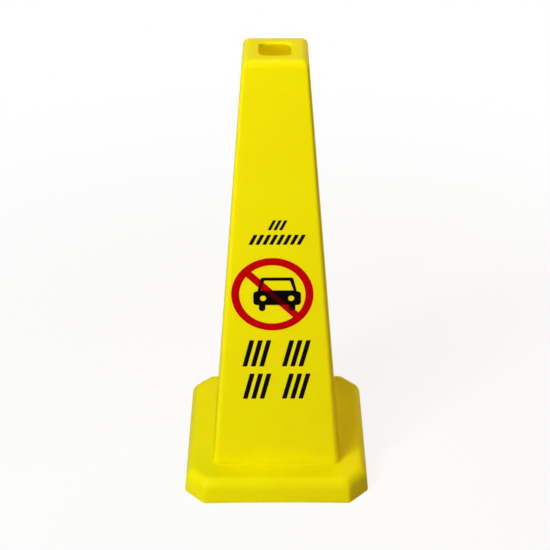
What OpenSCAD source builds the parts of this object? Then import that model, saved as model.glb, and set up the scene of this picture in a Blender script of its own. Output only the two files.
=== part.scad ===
// Four-sided cone sign: a hollow tapered column and a cut-corner base skirt that drops over it.
// The skirt's collar wedges on the column's taper, so the column lifts the base and the base can't fall off.
// Millimetres, +Z up. The origin is on the floor, under the middle of the sign, whose front faces -Y.

/* [Column] */
// Overall height of the sign
cone_h = 650; // [450:5:900]
// Width of the column, face to face, where it comes out of the base
column_foot_w = 185; // [160:1:195]
// Width of the column, face to face, at the top before its edges are rounded
column_top_w = 83; // [72:1:110]
// Thickness of the column's four walls
column_wall = 2.6; // [2:0.1:4]
// Thickness of the top
top_t = 4.5; // [3:0.1:6]
// Radius of the upright edges where the column comes out of the base
foot_edge_r = 8.5; // [6:0.5:14]
// Radius of the upright edges at the top
top_edge_r = 4.5; // [4:0.5:9]
// Radius of the rounding round the top
top_round_r = 9.5; // [6:0.5:12]
// Radius of the four corners of the flat top
flat_corner_r = 2; // [1:0.5:6]

/* [Top opening] */
// Width of the square opening in the top
opening_w = 41; // [30:0.5:46]
// Radius of the opening's corners
opening_r = 9; // [3:0.5:12]
// Width and depth of the bevel round the opening
opening_bevel = 2; // [0.5:0.1:2.5]

/* [Base skirt] */
// Width of the base on the floor, side to side
base_w = 269; // [255:1:320]
// Height of the base
base_h = 38.5; // [30:0.5:50]
// Length that a cut corner takes off each side
corner_cut = 28.5; // [20:0.5:40]
// Lean of the base's sides, in degrees from upright
base_draft = 5.8; // [2:0.1:8]
// Width of the rounded shoulder round the top of the base
shoulder_w = 13.5; // [8:0.5:18]
// Height of that shoulder
shoulder_h = 19; // [10:0.5:25]
// Radius of the eight upright edges of the base
base_edge_r = 10; // [4:0.5:14]
// Thickness of the base's walls and top
base_wall = 3; // [2:0.1:5]
// Rise of the arch under each side, which leaves the sign standing on its corners
rim_arch_h = 1.5; // [0.5:0.1:4]

/* [Collar and ribs] */
// Clearance between the collar and the column
collar_gap = 0.15; // [0.1:0.05:0.5]
// Thickness of the collar
collar_wall = 3; // [2:0.1:5]
// Clear height under the collar
collar_lift = 2; // [1:0.5:10]
// Width and height of the sloped bead round the column's foot
bead_w = 3; // [2:0.5:8]
// Thickness left at the top of the bead
bead_edge = 0.5; // [0.4:0.1:1.5]
// Ribs under each side of the base
ribs_per_side = 3; // [1:1:6]
// Distance between neighbouring ribs
rib_pitch = 55; // [15:1:60]
// Thickness of a rib
rib_t = 2.4; // [1.5:0.1:4]
// Clear height under the ribs
rib_lift = 8; // [6:0.5:20]

/* [Hidden] */

$fn = 32;
// Thickness of the slices that a loft is drawn through
slice = 0.01;
// Length by which a cutter runs past what it cuts
overcut = 1;
// Smallest radius of an upright edge, inside or out
least_edge_r = 0.5;
// Slices in a rounded shoulder, and straight pieces in the arch under a side
round_steps = 7;
arch_steps = 16;

sides = 4;
side_turn = 360 / sides;
// Inward lean of each column face, per millimetre of height
taper = (column_foot_w - column_top_w) / 2 / (cone_h - base_h);
side_length = base_w - 2 * corner_cut;
rib_top = base_h - base_wall / 2;

// Half width of the column at a height, and the radius of its upright edges there
function column_half(z) = column_foot_w / 2 + (base_h - z) * taper;
function column_edge_r(z) = foot_edge_r + (top_edge_r - foot_edge_r) * (z - base_h) / (cone_h - base_h);

// Square with four rounded corners
module rounded_square(half, r) {
    square([2 * half, 2 * (half - r)], center = true);
    square([2 * (half - r), 2 * half], center = true);
    for (turn = [0 : side_turn : 359])
        rotate(turn) translate([half - r, half - r]) circle(r);
}

// Outline of the base on the floor
module cut_square() {
    half = base_w / 2;
    flat = half - corner_cut;
    polygon([
        [half, -flat], [half, flat], [flat, half], [-flat, half],
        [-half, flat], [-half, -flat], [-flat, -half], [flat, -half]
    ]);
}

// Thin slice of the column's form at a height, grown sideways, and drawn in where the top is rounded
module column_slice(grow, z, inset = 0) {
    round_share = inset / (top_round_r + grow);
    edge_r = column_edge_r(z) + (flat_corner_r - top_edge_r) * round_share + grow;
    translate([0, 0, z])
        linear_extrude(slice)
            rounded_square(column_half(z) + grow - inset, max(edge_r, least_edge_r));
}

// Straight length of the column's form
module column_length(grow, z_low, z_high) {
    hull() {
        column_slice(grow, z_low);
        column_slice(grow, z_high - slice);
    }
}

// Column's form with its rounded top
module column_form(grow, z_low, z_top) {
    r = top_round_r + grow;
    hull() {
        column_slice(grow, z_low);
        for (step = [0 : round_steps])
            let (turn = 90 * step / round_steps)
                column_slice(grow, z_top - slice - r * (1 - sin(turn)), r * (1 - cos(turn)));
    }
}

// Thin slice of the opening at a height, grown sideways
module opening_slice(grow, z) {
    translate([0, 0, z])
        linear_extrude(slice)
            rounded_square(opening_w / 2 + grow, opening_r + grow);
}

// Cutter for the opening in the top, with its bevel
module opening_form() {
    translate([0, 0, cone_h - top_t - overcut])
        linear_extrude(top_t + 2 * overcut)
            rounded_square(opening_w / 2, opening_r);
    hull() {
        opening_slice(0, cone_h - opening_bevel);
        opening_slice(opening_bevel + overcut, cone_h + overcut);
    }
}

// Thin slice of the base's form at a height, drawn in from its outline on the floor
module base_slice(inset, z) {
    translate([0, 0, z])
        linear_extrude(slice)
            offset(r = base_edge_r) offset(delta = -inset - base_edge_r) cut_square();
}

// Base's form, grown sideways: leaning sides, and a quarter of an ellipse that meets them for its shoulder
module base_form(grow, z_low, z_top) {
    w = shoulder_w + grow;
    h = shoulder_h + grow;
    turn_low = atan(tan(base_draft) * h / w);
    z_round = z_top - slice - h;
    round_inset = (z_round + h * sin(turn_low)) * tan(base_draft) - grow + w * cos(turn_low);
    hull() {
        base_slice(z_low * tan(base_draft) - grow, z_low);
        for (step = [0 : round_steps])
            let (turn = turn_low + (90 - turn_low) * step / round_steps)
                base_slice(round_inset - w * cos(turn), z_round + h * sin(turn));
    }
}

// Collar that grips the column's foot, and the bead that stands above it
module collar() {
    column_length(collar_gap + collar_wall, collar_lift, base_h);
    hull() {
        column_slice(collar_gap + bead_w, base_h - slice);
        column_slice(collar_gap + bead_edge, base_h + bead_w - slice);
    }
}

// Ribs from the collar to the walls: a row under each side and one in each cut corner
module ribs() {
    rib_h = rib_top - rib_lift;
    module rib() {
        translate([-rib_t / 2, 0, rib_lift]) cube([rib_t, base_w, rib_h]);
    }
    intersection() {
        base_form(-base_wall / 2, 0, base_h);
        difference() {
            for (turn = [0 : side_turn : 359]) {
                for (i = [0 : ribs_per_side - 1])
                    rotate(turn) translate([(i - (ribs_per_side - 1) / 2) * rib_pitch, 0, 0]) rib();
                rotate(turn + side_turn / 2) rib();
            }
            column_length(collar_gap + collar_wall / 2, -overcut, base_h + overcut);
        }
    }
}

// Shallow arches that lift the middle of each side off the floor
module rim_arches() {
    arch = [
        for (i = [0 : arch_steps])
            let (t = 2 * i / arch_steps - 1)
                [t * side_length / 2, rim_arch_h * (1 - t * t)]
    ];
    for (turn = [0 : side_turn : 359])
        rotate(turn)
            translate([0, -base_w / 2 + 2 * base_wall, 0])
                rotate([90, 0, 0])
                    linear_extrude(3 * base_wall)
                        polygon(concat([[-side_length / 2, -overcut]], arch, [[side_length / 2, -overcut]]));
}

module column_shell() {
    color("gold")
        difference() {
            column_form(0, 0, cone_h);
            column_form(-column_wall, -overcut, cone_h - top_t);
            opening_form();
        }
}

module base_skirt() {
    color("gold")
        difference() {
            union() {
                difference() {
                    base_form(0, 0, base_h);
                    base_form(-base_wall, -overcut, base_h - base_wall);
                }
                collar();
                ribs();
            }
            column_length(collar_gap, -overcut, base_h + bead_w + overcut);
            rim_arches();
        }
}

column_shell();
base_skirt();
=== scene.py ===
import math

import bmesh
import bpy
import numpy as np
from mathutils import Matrix, Vector


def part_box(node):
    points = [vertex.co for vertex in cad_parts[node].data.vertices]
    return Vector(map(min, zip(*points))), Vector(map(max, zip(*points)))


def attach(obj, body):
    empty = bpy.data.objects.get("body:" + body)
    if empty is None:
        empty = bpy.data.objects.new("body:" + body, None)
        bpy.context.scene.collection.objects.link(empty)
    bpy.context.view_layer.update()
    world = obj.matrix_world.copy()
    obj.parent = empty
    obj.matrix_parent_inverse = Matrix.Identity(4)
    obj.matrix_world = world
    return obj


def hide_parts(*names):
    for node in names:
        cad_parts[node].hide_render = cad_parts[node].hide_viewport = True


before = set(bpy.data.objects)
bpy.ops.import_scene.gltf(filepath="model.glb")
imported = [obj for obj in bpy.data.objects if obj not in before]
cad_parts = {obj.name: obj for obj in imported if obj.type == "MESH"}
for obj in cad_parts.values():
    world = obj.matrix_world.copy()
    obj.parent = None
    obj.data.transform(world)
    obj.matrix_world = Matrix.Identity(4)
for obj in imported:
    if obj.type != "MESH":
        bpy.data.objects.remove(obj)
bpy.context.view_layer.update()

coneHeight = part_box("column_shell")[1][2]
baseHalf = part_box("base_skirt")[1][0]
print("frame loaded: cone", round(coneHeight, 4), "m high, base", round(2 * baseHalf, 4), "m wide")

# how finely a ring round the column or base is cut
sidePoints = 34        # along a flat side, between two corners
arcSteps = 6           # round each of the two edges of a cut corner
chamferSteps = 4       # along the cut itself
cornerPoints = 2 * arcSteps + chamferSteps + 1


# rings and grids

# the first corner is turned to the other three, and each flat side is filled between two corners
# with points that crowd towards its ends, so that a flat face stays flat beside a rounded edge
def closeRing(corner):
    turns = np.array([[[math.cos(a), -math.sin(a)], [math.sin(a), math.cos(a)]]
                      for a in np.arange(4) * math.pi / 2])
    corners = np.einsum("kij,rpj->rkpi", turns, corner)
    begin = corners[:, :, -1:]
    end = np.roll(corners[:, :, :1], -1, axis=1)
    share = 0.5 - 0.5 * np.cos(math.pi * np.arange(1, sidePoints + 1) / (sidePoints + 1))
    sides = begin + (end - begin) * share[None, None, :, None]
    return np.concatenate([corners, sides], axis=2).reshape(len(corner), -1, 2)


# rounded square: a quarter circle of radius edge about a centre at (half - edge) both ways
def squareRings(half, edge):
    angle = np.linspace(0, math.pi / 2, cornerPoints)
    circle = np.stack([np.cos(angle), np.sin(angle)], axis=1)
    return closeRing((half - edge)[:, None, None] + edge[:, None, None] * circle)


# square with cut corners: an eighth circle, the straight cut, and another eighth circle
def cutRings(half, cut, edge):
    reach = edge * math.tan(math.pi / 8)
    near = half - edge
    far = half - cut - reach
    angle = np.linspace(0, math.pi / 4, arcSteps + 1)
    first = np.stack([near[:, None] + edge[:, None] * np.cos(angle),
                      far[:, None] + edge[:, None] * np.sin(angle)], axis=2)
    second = first[:, ::-1, ::-1]
    share = (np.arange(1, chamferSteps) / chamferSteps)[None, :, None]
    straight = first[:, -1:] + (second[:, :1] - first[:, -1:]) * share
    return closeRing(np.concatenate([first, straight, second], axis=1))


def raiseRings(rings, z):
    heights = np.broadcast_to(np.asarray(z)[:, None, None], rings.shape[:2] + (1,))
    return np.concatenate([rings, heights], axis=2)


# rows between two rings, shares 0 and 1 left out
def fillRows(first, last, count):
    share = (np.arange(1, count + 1) / (count + 1))[:, None, None]
    return first[None] + (last - first)[None] * share


# grid of rows by columns, both closed, as points and four-sided faces that look outwards
# where rows climb the outside and columns run anticlockwise
def closedPatch(grid):
    rows, columns = grid.shape[:2]
    row = np.arange(rows)[:, None] * columns
    nextRow = (np.arange(rows)[:, None] + 1) % rows * columns
    column = np.arange(columns)[None]
    nextColumn = (column + 1) % columns
    faces = np.stack([row + column, row + nextColumn, nextRow + nextColumn, nextRow + column], axis=2)
    return grid.reshape(-1, 3), faces.reshape(-1, 4)


sharpAngle = 40        # degrees between two faces, past which their edge stays sharp


# one mesh from patches of points and faces, with points nearer than weld merged
def makePiece(name, patches, material, weld=0.0):
    points, faces, start = [], [], 0
    for patchPoints, patchFaces in patches:
        points.append(patchPoints)
        faces.append(patchFaces + start)
        start += len(patchPoints)
    mesh = bpy.data.meshes.new(name)
    mesh.from_pydata(np.concatenate(points).tolist(), [], np.concatenate(faces).tolist())
    if weld:
        work = bmesh.new()
        work.from_mesh(mesh)
        bmesh.ops.remove_doubles(work, verts=work.verts, dist=weld)
        bmesh.ops.dissolve_degenerate(work, edges=work.edges, dist=weld)
        work.to_mesh(mesh)
        work.free()
    mesh.polygons.foreach_set("use_smooth", np.ones(len(mesh.polygons), dtype=bool))
    mesh.set_sharp_from_angle(angle=math.radians(sharpAngle))
    mesh.materials.append(material)
    piece = bpy.data.objects.new(name, mesh)
    bpy.context.scene.collection.objects.link(piece)
    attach(piece, "root")
    print("made", name, "with", len(mesh.polygons), "faces")
    return piece


# shader maths

class Signal:
    # wraps an output socket, and arithmetic on it adds Math nodes
    def __init__(self, socket):
        self.socket = socket
        self.tree = socket.id_data

    # any node: settings first, because they can change the sockets, then values or links
    @staticmethod
    def make(tree, kind, settings, inputs, output=0):
        node = tree.nodes.new("ShaderNode" + kind)
        for name, value in settings.items():
            setattr(node, name, value)
        for name, value in inputs.items():
            if isinstance(value, Signal):
                tree.links.new(value.socket, node.inputs[name])
            else:
                node.inputs[name].default_value = value
        return Signal(node.outputs[output])

    def maths(self, operation, first, second):
        return Signal.make(self.tree, "Math", {"operation": operation}, {0: first, 1: second})

    def __add__(self, other):
        return self.maths("ADD", self, other)

    def __sub__(self, other):
        return self.maths("SUBTRACT", self, other)

    def __mul__(self, other):
        return self.maths("MULTIPLY", self, other)

    def __rsub__(self, other):
        return self.maths("SUBTRACT", other, self)

    __radd__ = __add__
    __rmul__ = __mul__

    def size(self):
        return self.maths("ABSOLUTE", self, 0.0)

    def larger(self, other):
        return self.maths("MAXIMUM", self, other)

    # 0 below low, 1 above high, eased between
    def step(self, low, high):
        settings = {"interpolation_type": "SMOOTHSTEP"}
        inputs = {"Value": self, "From Min": low, "From Max": high}
        return Signal.make(self.tree, "MapRange", settings, inputs)

    # this signal picks between two colours
    def pick(self, colourA, colourB):
        settings = {"data_type": "RGBA"}
        return Signal.make(self.tree, "Mix", settings, {0: self, 6: colourA, 7: colourB}, 2)


def newMaterial(name):
    material = bpy.data.materials.new(name)
    material.use_nodes = True
    tree = material.node_tree
    shader = tree.nodes["Principled BSDF"]
    where = Signal.make(tree, "TexCoord", {}, {}, "Object")
    return material, tree, shader, where


def noise(tree, where, scale, detail=2.0, roughness=0.5, stretch=(1, 1, 1)):
    placed = Signal.make(tree, "Mapping", {}, {"Vector": where, "Scale": stretch})
    return Signal.make(tree, "TexNoise", {}, {"Vector": placed, "Scale": scale, "Detail": detail,
                                              "Roughness": roughness})


def heightOf(tree, where):
    return Signal.make(tree, "SeparateXYZ", {}, {"Vector": where}, "Z")


def setShader(shader, values):
    for name, value in values.items():
        if isinstance(value, Signal):
            value.tree.links.new(value.socket, shader.inputs[name])
        else:
            shader.inputs[name].default_value = value


yellow = {
    "main": (0.92, 0.820, 0.0, 1),
    "deep": (0.905, 0.790, 0.0, 1),
    # grime colour, also used as painted shade towards the column's foot
    "grimeAndShade": (0.62, 0.47, 0.004, 1),
    "dark": (0, 0, 0, 1),
    "paintedGlow": (0.119, 0.102, 0.0, 1),       # painted glow: emission on the column's inside that stands in for light coming through its wall
    "roughness": 0.60,
    "specular": 0.0,
    "coat": 0.16,             # faint gloss of the moulded skin
    "coatRoughness": 0.22,
    "glow": 0.5,              # share of light that goes into the wall
    "glowReach": 0.004,
    "glowSpread": (1.0, 0.75, 0.15),      # how far red, green and blue go, in reaches
    "broad": {"scale": 9.0, "detail": 3.0},
    "patch": {"scale": 42.0, "detail": 4.0, "roughness": 0.6},
    "grain": {"scale": 1500.0, "detail": 2.0, "roughness": 0.6},     # moulded grain, in spots per metre
    "ripple": {"scale": 14.0, "detail": 1.0},
    "scuff": {"scale": 60.0, "detail": 5.0, "roughness": 0.65, "stretch": (1.0, 1.0, 0.12)},
    "grainBump": {"Strength": 0.35, "Distance": 0.00012},
    "rippleBump": {"Strength": 0.25, "Distance": 0.0010},
    "toneEdges": (0.3, 0.7),  # noise levels at which a mask begins and is full
    "scuffEdges": (0.60, 0.72),
    "grimeShadeEdges": (0.42, 0.66),
    "grimeShadeShare": 0.2,         # share of the grime colour where the mask is full, for grime and painted shade alike
    "patchRough": 0.12,       # changes of roughness
    "scuffRough": 0.08,
    "dirtRough": 0.2,
}


# grime, and on the column painted shade, fade out with height up to the given top; inside gives the mask of a
# painted glow that stands in for light coming through the wall
def plastic(name, grimeShadeTop, inside=None):
    material, tree, shader, where = newMaterial(name)
    broad, patch, grain, ripple, scuff = [noise(tree, where, **yellow[kind])
                                          for kind in ("broad", "patch", "grain", "ripple", "scuff")]
    scuffMask = scuff.step(*yellow["scuffEdges"])
    # the grime mask is partly painted shade: it darkens the column towards its foot by the base's top, and on
    # the base it is grime low down
    grimeAndShadeMask = (1 - heightOf(tree, where).step(0.0, grimeShadeTop)) * patch.step(*yellow["grimeShadeEdges"])
    tone = broad.step(*yellow["toneEdges"]).pick(yellow["main"], yellow["deep"])
    bumpFine = Signal.make(tree, "Bump", {}, {**yellow["grainBump"], "Height": grain})
    bumpBroad = Signal.make(tree, "Bump", {}, {**yellow["rippleBump"], "Height": ripple, "Normal": bumpFine})
    setShader(shader, {
        "Base Color": (grimeAndShadeMask * yellow["grimeShadeShare"]).pick(tone, yellow["grimeAndShade"]),
        "Roughness": (yellow["roughness"] + (patch - 0.5) * yellow["patchRough"]
                      + scuffMask * yellow["scuffRough"] + grimeAndShadeMask * yellow["dirtRough"]),
        "Normal": bumpBroad,
        "Specular IOR Level": yellow["specular"],
        "Coat Weight": yellow["coat"],
        "Coat Roughness": yellow["coatRoughness"],
        "Subsurface Weight": yellow["glow"],
        "Subsurface Radius": yellow["glowSpread"],
        "Subsurface Scale": yellow["glowReach"],
    })
    # painted glow: the inside of the column emits light, standing in for light coming through its wall
    if inside:
        setShader(shader, {"Emission Color": inside(tree, where).pick(yellow["dark"], yellow["paintedGlow"]),
                           "Emission Strength": 1.0})
    return material


# column

column = {
    "footHalf": 0.0925,       # half width where it leaves the base
    "topHalf": 0.0415,
    "footHeight": 0.0385,     # height of the base's top
    "wall": 0.0026,
    "topThickness": 0.0045,
    "footEdge": 0.0085,       # radius of the upright edges
    "topEdge": 0.0045,
    "topRound": 0.0095,       # rounding round the top
    "flatCorner": 0.002,      # corners of the flat top
    "openingHalf": 0.0205,
    "openingEdge": 0.009,
    "openingRound": 0.0028,   # rounding of the opening's upper edge
    "lip": 0.0010,            # rounding of the thin edges
    "leastEdge": 0.0005,      # smallest radius of an upright edge
    "insideEdges": (0.6, 0.9),    # depths, in walls, at which the painted glow inside begins and is full
    # painted shade, with some grime, darkens the column from its foot up to this height
    "grimeShadeTop": 0.10,
    "wallRows": 60,
    "roundRows": 12,
    "flatRows": 10,
    "edgeRows": 5,
}
taper = (column["footHalf"] - column["topHalf"]) / (coneHeight - column["footHeight"])


# half width, which falls evenly with height
def columnHalf(z):
    return column["footHalf"] + (column["footHeight"] - z) * taper


# radius of the upright edges, which changes evenly from the base's top to the column's top
def columnEdge(z):
    share = (z - column["footHeight"]) / (coneHeight - column["footHeight"])
    return column["footEdge"] + (column["topEdge"] - column["footEdge"]) * share


# one closed profile carried round the rounded square: up the outside, over the rounded top, in to the
# opening, down its edge, out under the top, down the inside and back across the lower edge
def columnGrid():
    lip = column["lip"]
    turn = np.linspace(0, math.pi / 2, column["roundRows"])
    edgeTurn = np.linspace(0, math.pi / 2, column["edgeRows"])
    rows = []

    def addRows(half, edge, z):
        half, edge, z = np.broadcast_arrays(half, edge, z)
        rows.append(np.stack([half, edge, z], axis=1))

    r = column["topRound"]
    z = np.concatenate([[lip, 2 * lip], np.linspace(4 * lip, coneHeight - r - lip, column["wallRows"])])
    addRows(columnHalf(z), columnEdge(z), z)
    z = coneHeight - r * (1 - np.sin(turn))
    inset = r * (1 - np.cos(turn))
    cornerChange = column["flatCorner"] - column["topEdge"]
    addRows(columnHalf(z) - inset, columnEdge(z) + cornerChange * inset / r, z)
    share = np.linspace(0, 1, column["flatRows"])[1:-1]
    flatHalf = columnHalf(coneHeight) - r
    openRound = column["openingRound"]
    rim, rimEdge = column["openingHalf"] + openRound, column["openingEdge"] + openRound
    addRows(flatHalf + (rim - flatHalf) * share,
            column["flatCorner"] + (rimEdge - column["flatCorner"]) * share, coneHeight)
    drop = openRound * np.sin(turn)
    addRows(rim - drop, rimEdge - drop, coneHeight - openRound * (1 - np.cos(turn)))
    under = coneHeight - column["topThickness"]
    back = lip * (1 - np.cos(edgeTurn))
    addRows(column["openingHalf"] + back, column["openingEdge"] + back, under + lip * (1 - np.sin(edgeTurn)))
    innerRound = r - column["wall"]
    innerHalf = columnHalf(under) - column["wall"] - innerRound
    rim, rimEdge = column["openingHalf"] + lip, column["openingEdge"] + lip
    addRows(rim + (innerHalf - rim) * share, rimEdge * (1 - share), under)
    z = under - innerRound * (1 - np.cos(turn))
    inset = innerRound * (1 - np.sin(turn))
    addRows(columnHalf(z) - column["wall"] - inset,
            columnEdge(z) - column["wall"] + cornerChange * inset / innerRound, z)
    z = np.linspace(under - innerRound - lip, 4 * lip, column["wallRows"])
    addRows(columnHalf(z) - column["wall"], columnEdge(z) - column["wall"], z)
    z = lip * (1 - np.sin(edgeTurn))
    inset = column["wall"] - lip * (1 - np.cos(edgeTurn))
    addRows(columnHalf(z) - inset, columnEdge(z) - inset, z)
    z = lip * (1 - np.cos(edgeTurn))[:-1]
    inset = lip * (1 - np.sin(edgeTurn))[:-1]
    addRows(columnHalf(z) - inset, columnEdge(z) - inset, z)
    half, edge, z = np.concatenate(rows).T
    return raiseRings(squareRings(half, np.maximum(edge, column["leastEdge"])), z)


# where the painted glow shows: 1 on the inside of the wall and under the top, 0 on the outside, by how far in
# from the outer face, in walls
def paintedGlowInside(tree, where):
    x, y, z = [Signal.make(tree, "SeparateXYZ", {}, {"Vector": where}, axis) for axis in "XYZ"]
    reach = x.size().larger(y.size())
    depth = (columnHalf(0.0) - z * taper - reach) * (1 / column["wall"])
    under = coneHeight - column["topThickness"]
    return depth.step(*column["insideEdges"]) * (1 - z.step(under, under + column["lip"]))


columnYellow = plastic("columnYellow", column["grimeShadeTop"], paintedGlowInside)
columnPiece = makePiece("columnSkin", [closedPatch(columnGrid())], columnYellow)
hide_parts("column_shell")


# base

base = {
    "height": 0.0385,
    "cut": 0.0285,            # length off each side at a corner
    "draft": 5.8,             # lean of the sides, degrees
    "shoulderWidth": 0.0135,  # rounding round the top, in and down
    "shoulderHeight": 0.0190,
    "edge": 0.010,            # radius of the eight upright edges
    "wall": 0.003,
    "arch": 0.0015,           # lift under the middle of a side
    "archFade": 0.012,        # height over which the lift dies out
    "gap": 0.00015,           # between collar and column
    "collarWall": 0.003,
    "collarLift": 0.002,
    "bead": 0.0028,           # hollow fillet round the column's foot
    "beadEdge": 0.0002,
    "crownIn": (0.7, 0.3, 0.0),   # rounding of the fillet's thin top, in shares of its thickness
    "crownUp": (0.35, 0.3, 0.0),
    "lip": 0.0009,
    "ribs": 3,
    "ribPitch": 0.055,
    "ribThickness": 0.0024,
    "ribLift": 0.008,
    "ribTop": 0.002,          # below the base's top, within its wall
    "ribRound": 0.0006,       # along a rib's lower edge
    "ribTip": 0.0001,
    "grimeShadeTop": 0.014,
    "sideRows": 14,
    "shoulderRows": 16,
    "topRows": 8,
    "filletRows": 9,
    "collarRows": 6,
    "edgeRows": 5,
    "ribRows": 12,
}
lean = math.tan(math.radians(base["draft"]))
cutShrink = 2 - math.sqrt(2)      # a cut shortens by this much for each unit that the sides move in


# outlines of the base moved in by inset: the sides and the cuts move in alike
def baseRings(inset, z):
    rings = cutRings(baseHalf - inset, base["cut"] - cutShrink * inset, np.full(len(inset), base["edge"]))
    return raiseRings(rings, z)


# side and shoulder from the rim up: a straight side leans in to where a quarter ellipse, as wide and high
# as the shoulder, meets it at the same slope, and the ellipse goes on to the top; wall moves it in and down
def sideProfile(wall, rimHeight):
    width, height = base["shoulderWidth"] - wall, base["shoulderHeight"] - wall
    begin = math.atan(lean * height / width)
    turn = np.linspace(begin, math.pi / 2, base["shoulderRows"])
    middle = base["height"] - wall - height
    beginZ = middle + height * math.sin(begin)
    straight = np.linspace(rimHeight, beginZ - base["lip"], base["sideRows"])
    z = np.concatenate([straight, middle + height * np.sin(turn)])
    inset = np.concatenate([straight * lean + wall,
                            beginZ * lean + wall + width * (math.cos(begin) - np.cos(turn))])
    return inset, z


# closed profile carried round the cut square and, at the collar, round the column's rounded square:
# up the side, over the shoulder, in to the fillet, down the collar, out under the top and down inside
def baseGrid():
    lip = base["lip"]
    edgeTurn = np.linspace(0, math.pi / 2, base["edgeRows"])

    def collarRings(grow, z):
        grow, z = np.broadcast_arrays(grow, z)
        return raiseRings(squareRings(columnHalf(z) + grow, columnEdge(z) + grow), z)

    rimZ = lip * (1 - np.cos(edgeTurn))[:-1]
    rimOut = baseRings(lip * (1 - np.sin(edgeTurn))[:-1] + rimZ * lean, rimZ)
    outside = baseRings(*sideProfile(0.0, lip))
    turn = np.linspace(0, math.pi / 2, base["filletRows"])
    reach = base["bead"] - base["beadEdge"]
    fillet = collarRings(base["gap"] + base["beadEdge"] + reach * (1 - np.sin(turn)),
                         base["height"] + reach * (1 - np.cos(turn)))
    crown = collarRings(base["gap"] + base["beadEdge"] * np.array(base["crownIn"]),
                        base["height"] + reach + base["beadEdge"] * np.array(base["crownUp"]))
    collarFoot = base["collarLift"] + lip
    grip = collarRings(base["gap"], np.linspace(base["height"], collarFoot, base["collarRows"]))
    foot = collarRings(base["gap"] + np.array([0.25, 0.75]) * base["collarWall"], base["collarLift"])
    ceiling = base["height"] - base["wall"]
    outer = collarRings(base["gap"] + base["collarWall"],
                        np.linspace(collarFoot, ceiling, base["collarRows"]))
    insetIn, zIn = sideProfile(base["wall"], lip)
    inside = baseRings(insetIn[::-1], zIn[::-1])
    backTurn = edgeTurn[1:]
    backZ = lip * (1 - np.sin(backTurn))
    rimIn = baseRings(base["wall"] - lip * (1 - np.cos(backTurn)) + backZ * lean, backZ)
    top = fillRows(outside[-1], fillet[0], base["topRows"])
    under = fillRows(outer[-1], inside[0], base["collarRows"])
    grid = np.concatenate([rimOut, outside, top, fillet, crown, grip, foot, outer, under, inside, rimIn])
    # the arch: a parabola along each side, fading out up the wall
    sideLength = 2 * (baseHalf - base["cut"])
    along = np.clip(np.abs(grid[..., :2]).min(axis=2) / (sideLength / 2), 0, 1)
    outward = np.abs(grid[..., :2]).max(axis=2) > baseHalf - 4 * base["wall"]
    fade = np.clip(1 - grid[..., 2] / base["archFade"], 0, 1)
    grid[..., 2] += base["arch"] * (1 - along ** 2) * fade * outward
    return grid


# ribs: a thin rounded slab lofted up through z, its outer end following the inside of the wall
def ribGrid(offset, turn, diagonal):
    insetWall, zWall = sideProfile(base["wall"] / 2, 0.0)
    z = np.linspace(base["ribLift"] + base["ribRound"], base["height"] - base["ribTop"], base["ribRows"])
    z = np.concatenate([[base["ribLift"]] * 2, z])
    inset = np.interp(z, zWall, insetWall)
    reach = baseHalf - inset
    inner = columnHalf(z) + base["gap"] + base["collarWall"] / 2
    if diagonal:
        reach = math.sqrt(2) * (baseHalf - base["cut"] / 2) - inset
        inner = math.sqrt(2) * inner - (math.sqrt(2) - 1) * columnEdge(z)
    half = np.full(len(z), base["ribThickness"] / 2)
    half[:2] = [base["ribTip"], base["ribThickness"] / 2 - base["ribRound"]]
    x = np.stack([half, half, -half, -half], axis=1) + offset
    y = np.stack([inner, reach, reach, inner], axis=1)
    c, s = math.cos(turn), math.sin(turn)
    return np.stack([c * x - s * y, s * x + c * y, np.broadcast_to(z[:, None], x.shape)], axis=2)


# closed all round but with a flat cap at each end of its rows
def cappedPatch(grid):
    rows, columns = grid.shape[:2]
    points, faces = closedPatch(grid)
    sides = faces.reshape(rows, columns, 4)[:-1].reshape(-1, 4)
    last = (rows - 1) * columns
    caps = np.array([[3, 2, 1, 0], [last, last + 1, last + 2, last + 3]])
    return points, np.concatenate([sides, caps])


baseYellow = plastic("baseYellow", base["grimeShadeTop"])
basePiece = makePiece("baseSkin", [closedPatch(baseGrid())], baseYellow)
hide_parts("base_skirt")
ribPatches = []
for side in range(4):
    quarter = side * math.pi / 2
    for i in range(base["ribs"]):
        offset = (i - (base["ribs"] - 1) / 2) * base["ribPitch"]
        ribPatches.append(cappedPatch(ribGrid(offset, quarter, False)))
    ribPatches.append(cappedPatch(ribGrid(0.0, quarter + math.pi / 4, True)))
ribPiece = makePiece("baseRibs", ribPatches, baseYellow)


# printed marks on the front

faceTilt = math.atan(taper)


# point on the front face: x across, along up the slope from the floor line, lift out from the face
def onFace(x, along, lift):
    return np.stack([x, -columnHalf(0.0) + along * math.sin(faceTilt) - lift * math.cos(faceTilt),
                     along * math.cos(faceTilt) + lift * math.sin(faceTilt)], axis=-1)


film = {
    "low": 0.00002,           # heights above the face
    "high": 0.00014,
    "slashDrop": 0.00002,     # slash below the ring
    "carRise": 0.00006,       # car above the ring
    "weld": 0.000001,
}


# film between two outlines of as many points: up from the face at the outer one, across to the inner one
# and back down there
def filmPatch(outline, hole, high):
    rows = [onFace(*outline.T, film["low"]), onFace(*outline.T, high),
            onFace(*hole.T, high), onFace(*hole.T, film["low"])]
    return closedPatch(np.stack(rows))


def centreOf(outline):
    return np.broadcast_to(outline.mean(axis=0), outline.shape)


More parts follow.
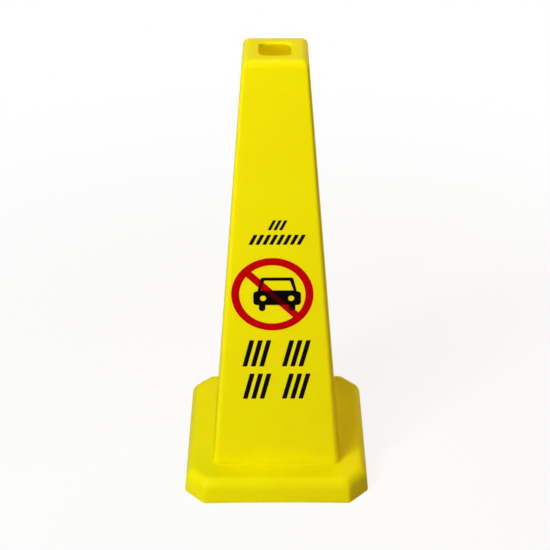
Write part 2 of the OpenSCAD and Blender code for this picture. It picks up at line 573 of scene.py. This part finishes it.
# polygon, anticlockwise, with each corner turned into an arc of that radius
def roundedOutline(corners, radius, steps=6):
    corners = np.asarray(corners, float)
    toLast = np.roll(corners, 1, axis=0) - corners
    toNext = np.roll(corners, -1, axis=0) - corners
    toLast /= np.linalg.norm(toLast, axis=1)[:, None]
    toNext /= np.linalg.norm(toNext, axis=1)[:, None]
    half = np.arccos((toLast * toNext).sum(axis=1)) / 2
    radius = np.broadcast_to(radius, half.shape)
    middle = toLast + toNext
    middle /= np.linalg.norm(middle, axis=1)[:, None]
    centres = corners + middle * (radius / np.sin(half))[:, None]
    begin = corners + toLast * (radius / np.tan(half))[:, None] - centres
    angle = np.linspace(0, 1, steps + 1)[None] * (math.pi - 2 * half)[:, None]
    c, s = np.cos(angle), np.sin(angle)
    x = begin[:, :1] * c - begin[:, 1:] * s + centres[:, :1]
    y = begin[:, :1] * s + begin[:, 1:] * c + centres[:, 1:]
    return np.stack([x, y], axis=2).reshape(-1, 2)


# the same outline with its points set evenly along its length
def evenOutline(outline, count=240):
    closed = np.concatenate([outline, outline[:1]])
    length = np.concatenate([[0], np.cumsum(np.linalg.norm(np.diff(closed, axis=0), axis=1))])
    at = np.arange(count) * length[-1] / count
    return np.stack([np.interp(at, length, closed[:, 0]), np.interp(at, length, closed[:, 1])], axis=1)


# circle: its centre plus the radius times the cosine and sine of an even angle
def circleOutline(x, along, radius, count=160):
    angle = np.arange(count) * 2 * math.pi / count
    return np.stack([x + radius * np.cos(angle), along + radius * np.sin(angle)], axis=1)


inkLook = {
    "cloud": {"scale": 220.0, "detail": 4.0, "roughness": 0.6},
    "speck": {"scale": 1900.0, "detail": 2.0},
    "bump": {"Strength": 0.3, "Distance": 0.00005},
    "thinEdges": (0.45, 0.8),     # noise levels at which the ink begins to thin and is thinnest
    "thinShare": 0.6,
    "thinGain": 1.25,         # how much lighter thin ink is
    "thinLift": 0.001,
    "cloudRough": 0.15,       # change of roughness
    "specular": 0.015,
}


def ink(name, colour, roughness, underprint=None):
    material, tree, shader, where = newMaterial(name)
    cloud = noise(tree, where, **inkLook["cloud"])
    speck = noise(tree, where, **inkLook["speck"])
    thin = tuple(c * inkLook["thinGain"] + inkLook["thinLift"] for c in colour[:3]) + (1,)
    tone = (cloud.step(*inkLook["thinEdges"]) * inkLook["thinShare"]).pick(colour, thin)
    if underprint:
        tone = underprint(tree, where).pick(tone, ring["overprint"])
    setShader(shader, {
        "Base Color": tone,
        "Roughness": roughness + (cloud - 0.5) * inkLook["cloudRough"],
        "Normal": Signal.make(tree, "Bump", {}, {**inkLook["bump"], "Height": speck}),
        "Specular IOR Level": inkLook["specular"],
    })
    return material


ring = {
    "x": -0.0051,
    "along": 0.3203,
    "outer": 0.0562,
    "inner": 0.0452,
    "slashWidth": 0.0106,
    "slashTurn": -44.5,       # degrees, from upper left to lower right
    "slashEnd": 0.0004,       # how far it runs in under the ring
    "slashPoints": 12,
    "red": (0.53, 0.0, 0.0005, 1),
    "roughness": 0.36,
    "overprint": (0.075, 0.0, 0.0010, 1),     # black over red
    "overprintEdges": (0.12, 0.46),           # where it begins to fade and ends, in widths of the slash
}


# the slash: straight sides between two short arcs about the ring's centre, a little inside the ring
def slashOutline():
    radius = ring["inner"] + ring["slashEnd"]
    spread = math.asin(ring["slashWidth"] / 2 / radius)
    arc = np.linspace(-spread, spread, ring["slashPoints"])
    angle = np.concatenate([arc, arc + math.pi]) + math.radians(ring["slashTurn"])
    return np.stack([ring["x"] + radius * np.cos(angle), ring["along"] + radius * np.sin(angle)], axis=1)


slash = slashOutline()
makePiece("ringPrint", [
    filmPatch(circleOutline(ring["x"], ring["along"], ring["outer"]),
              circleOutline(ring["x"], ring["along"], ring["inner"]), film["high"]),
    filmPatch(slash, centreOf(slash), film["high"] - film["slashDrop"]),
], ink("redInk", ring["red"], ring["roughness"]), film["weld"])


car = {
    "x": 0.0014,
    "roofHalf": 0.0218,
    "roof": 0.3467,
    "sillHalf": 0.0270,       # cabin at its foot
    "shoulder": 0.3256,       # top of the body
    "bodyHalf": 0.0326,
    "bodyLow": 0.3043,
    "bodyRound": 0.0050,
    "bodySteps": 14,
    "seamRound": 0.00005,     # where the two halves of the body meet
    "footRound": 0.0005,      # corners of the cabin
    "roofRound": 0.003,
    "glassRound": 0.0010,
    "pillar": 0.0044,
    "roofBar": 0.0046,
    "sillBar": 0.0014,
    "lampX": 0.0192,
    "lamp": 0.0042,
    "lampAlong": 0.3148,
    "wheelX": 0.0206,
    "wheelHalf": 0.0044,
    "wheelLow": 0.2948,
    "wheelRound": 0.0042,
    "wheelTopRound": 0.0001,
    "wheelSteps": 10,
    "black": (0.0020, 0.0017, 0.0015, 1),
    "roughness": 0.34,
}


# share of red under the black: inside the slash, by distance from its middle line
def redUnder(tree, where):
    turn = math.radians(ring["slashTurn"])
    x = Signal.make(tree, "SeparateXYZ", {}, {"Vector": where}, "X") - ring["x"]
    up = heightOf(tree, where) - ring["along"] * math.cos(faceTilt)
    across = (up * math.cos(turn) - x * math.sin(turn)).size()
    begin, end = ring["overprintEdges"]
    return 1 - across.step(ring["slashWidth"] * begin, ring["slashWidth"] * end)


# cabin with its glass left open, and on each side half of the body, open at its lamp, and a wheel;
# a lamp's edge is where the lines from its centre to the body's outline cross its circle
def carPatches():
    high = film["high"] + film["carRise"]
    x, top, low, pillar = car["x"], car["shoulder"], car["bodyLow"], car["pillar"]
    cabin = roundedOutline([(x - car["sillHalf"], top), (x + car["sillHalf"], top),
                            (x + car["roofHalf"], car["roof"]), (x - car["roofHalf"], car["roof"])],
                           [car["footRound"]] * 2 + [car["roofRound"]] * 2)
    sill, head = top + car["sillBar"], car["roof"] - car["roofBar"]
    glass = roundedOutline([(x - car["sillHalf"] + pillar, sill), (x + car["sillHalf"] - pillar, sill),
                            (x + car["roofHalf"] - pillar, head), (x - car["roofHalf"] + pillar, head)],
                           car["glassRound"])
    patches = [filmPatch(cabin, glass, high)]
    for side in (-1, 1):
        corners = [(x, low), (x + side * car["bodyHalf"], low), (x + side * car["bodyHalf"], top), (x, top)]
        radii = [car["seamRound"], car["bodyRound"], car["bodyRound"], car["seamRound"]]
        half = evenOutline(roundedOutline(corners[::side], radii[::side], car["bodySteps"]))
        lamp = np.array([x + side * car["lampX"], car["lampAlong"]])
        ray = half - lamp
        eye = lamp + car["lamp"] * ray / np.linalg.norm(ray, axis=1)[:, None]
        patches.append(filmPatch(half, eye, high))
        wheelX = x + side * car["wheelX"]
        left, right = wheelX - car["wheelHalf"], wheelX + car["wheelHalf"]
        wheel = roundedOutline([(left, car["wheelLow"]), (right, car["wheelLow"]), (right, low), (left, low)],
                               [car["wheelRound"]] * 2 + [car["wheelTopRound"]] * 2, car["wheelSteps"])
        patches.append(filmPatch(wheel, centreOf(wheel), high))
    return patches


carInk = ink("carInk", car["black"], car["roughness"], redUnder)
makePiece("carPrint", carPatches(), carInk, film["weld"])

# slanted bars in rows: left, right, low and high ends of a row, and how many bars it holds
bars = {
    "upper": [(-0.0111, 0.0156, 0.4180, 0.4326, 3), (-0.0369, 0.0400, 0.3965, 0.4113, 8)],
    "lower": [(-0.0476, -0.0068, 0.2059, 0.2483, 3), (0.0080, 0.0483, 0.2059, 0.2483, 3),
              (-0.0476, -0.0068, 0.1523, 0.1940, 3), (0.0080, 0.0483, 0.1523, 0.1940, 3)],
    "upperLean": 0.5,         # sideways run of a bar for its height
    "lowerLean": 0.25,
    "fill": 0.56,             # share of the pitch that a bar takes
    "round": 0.0007,
    "roundSteps": 4,
}
barInk = ink("barInk", car["black"], car["roughness"])


# each bar is a leaning four-sided outline with rounded corners, and a row sets them out at an even pitch
def barPatches(rows, slope):
    patches = []
    for left, right, low, high, count in rows:
        run = (high - low) * slope
        pitch = (right - left - run) / (count - 1 + bars["fill"])
        for i in range(count):
            start = left + i * pitch
            end = start + pitch * bars["fill"]
            outline = roundedOutline([(start, low), (end, low), (end + run, high), (start + run, high)],
                                     bars["round"], bars["roundSteps"])
            patches.append(filmPatch(outline, centreOf(outline), film["high"]))
    return patches


makePiece("upperBarsPrint", barPatches(bars["upper"], bars["upperLean"]), barInk, film["weld"])
makePiece("lowerBarsPrint", barPatches(bars["lower"], bars["lowerLean"]), barInk, film["weld"])


# floor, light and camera

stage = {
    "floorHalf": 6.0,
    "bounce": (0.32, 0.26, 0.18, 1),    # floor as it lights the object
    "paper": (0.95, 0.95, 0.95, 1),     # floor as the eye sees it
    "floorRoughness": 0.9,
    "whiteNear": 0.86,        # how far the floor by the object is plain white, the rest being lit and shaded
    "whiteReach": (0.3, 1.4),     # distances over which it turns all white
    "ambient": 0.0,           # light from all round
    "white": (1, 1, 1, 1),
}


# 1 where the camera, a reflection or glass looks, 0 for the light that falls on things
def seenBy(tree):
    eye, mirror, glass = [Signal.make(tree, "LightPath", {}, {}, ray)
                          for ray in ("Is Camera Ray", "Is Glossy Ray", "Is Transmission Ray")]
    return (eye + mirror + glass).step(0.0, 1.0)


def makeFloor():
    half = stage["floorHalf"]
    mesh = bpy.data.meshes.new("floor")
    corners = [(-half, -half, 0), (half, -half, 0), (half, half, 0), (-half, half, 0)]
    mesh.from_pydata(corners, [], [(0, 1, 2, 3)])
    material, tree, shader, where = newMaterial("floorPaint")
    seen = seenBy(tree)
    away = Signal.make(tree, "VectorMath", {"operation": "LENGTH"}, {0: where}, "Value")
    share = stage["whiteNear"] + away.step(*stage["whiteReach"]) * (1 - stage["whiteNear"])
    setShader(shader, {"Base Color": seen.pick(stage["bounce"], stage["paper"]),
                       "Roughness": stage["floorRoughness"], "Specular IOR Level": 0.0})
    white = Signal.make(tree, "Emission", {}, {"Color": stage["white"], "Strength": 1.0})
    lit = Signal(shader.outputs["BSDF"])
    mixed = Signal.make(tree, "MixShader", {}, {0: seen * share, 1: lit, 2: white})
    tree.links.new(mixed.socket, tree.nodes["Material Output"].inputs["Surface"])
    mesh.materials.append(material)
    floor = bpy.data.objects.new("floor", mesh)
    bpy.context.scene.collection.objects.link(floor)


# white where the camera, a reflection or glass looks, and plain soft light for everything else
def makeWorld():
    world = bpy.data.worlds.new("studio")
    bpy.context.scene.world = world
    world.use_nodes = True
    tree = world.node_tree
    strength = seenBy(tree) * (1 - stage["ambient"]) + stage["ambient"]
    background = tree.nodes["Background"]
    background.inputs["Color"].default_value = stage["white"]
    tree.links.new(strength.socket, background.inputs["Strength"])


# a lamp that isn't mirrored doesn't show in reflections: the warm ones only fill the shade at the right
lamps = {
    "key": {"at": (-1.42, -1.32, 2.21), "size": 0.5, "watts": 33.2, "colour": (1, 1, 1), "mirrored": True},
    "front": {"at": (-1.01, -2.07, 0.99), "size": 1.1, "watts": 33.2, "colour": (1, 1, 1), "mirrored": True},
    "right": {"at": (2.60, -0.70, 0.57), "size": 0.8, "watts": 8, "colour": (1, 0.52, 0.22),
              "mirrored": False},
    "fill": {"at": (1.83, 1.97, 0.57), "size": 0.9, "watts": 20, "colour": (1, 0.84, 0.55),
             "mirrored": False},
    "glow": {"at": (0.50, 0.68, 1.12), "size": 0.5, "watts": 2.9, "colour": (1, 0.60, 0.25),
             "mirrored": False},
    "back": {"at": (0.0, 1.20, 2.74), "size": 1.2, "watts": 8.5, "colour": (1, 1, 1), "mirrored": True},
    "top": {"at": (0.0, 0.0, 1.50), "size": 0.5, "watts": 1.45, "colour": (1, 1, 1), "mirrored": True},
}


def makeLamp(name, at, size, watts, colour, mirrored):
    data = bpy.data.lights.new(name, "AREA")
    data.shape = "DISK"
    data.size = size
    data.energy = watts
    data.color = colour
    lamp = bpy.data.objects.new(name, data)
    bpy.context.scene.collection.objects.link(lamp)
    lamp.visible_glossy = mirrored
    aim = np.array([0.0, 0.0, coneHeight / 2]) - np.array(at)
    lamp.matrix_world = Matrix.Translation(at) @ Vector(aim).to_track_quat("-Z", "Y").to_matrix().to_4x4()


camera = {
    "distance": 1.609,        # in front of the column's axis
    "height": 1.328,
    "sideways": -0.0014,
    "pitch": 32.39,           # degrees down
    "roll": -0.17,
    "focal": 1348.1,          # in image pixels
    "imageWidth": 550,
    "sensorWidth": 36.0,      # in millimetres
}


def makeCamera():
    data = bpy.data.cameras.new("camera")
    data.sensor_width = camera["sensorWidth"]
    data.lens = camera["focal"] / camera["imageWidth"] * data.sensor_width
    eye = bpy.data.objects.new("camera", data)
    bpy.context.scene.collection.objects.link(eye)
    place = Matrix.Translation((camera["sideways"], -camera["distance"], camera["height"]))
    pitch = Matrix.Rotation(math.radians(90 - camera["pitch"]), 4, "X")
    roll = Matrix.Rotation(math.radians(camera["roll"]), 4, "Z")
    eye.matrix_world = place @ pitch @ roll
    bpy.context.scene.camera = eye


makeFloor()
makeWorld()
for name, lamp in lamps.items():
    makeLamp(name, **lamp)
makeCamera()
bpy.context.scene.view_settings.view_transform = "Standard"
print("stage, lamps and camera set")
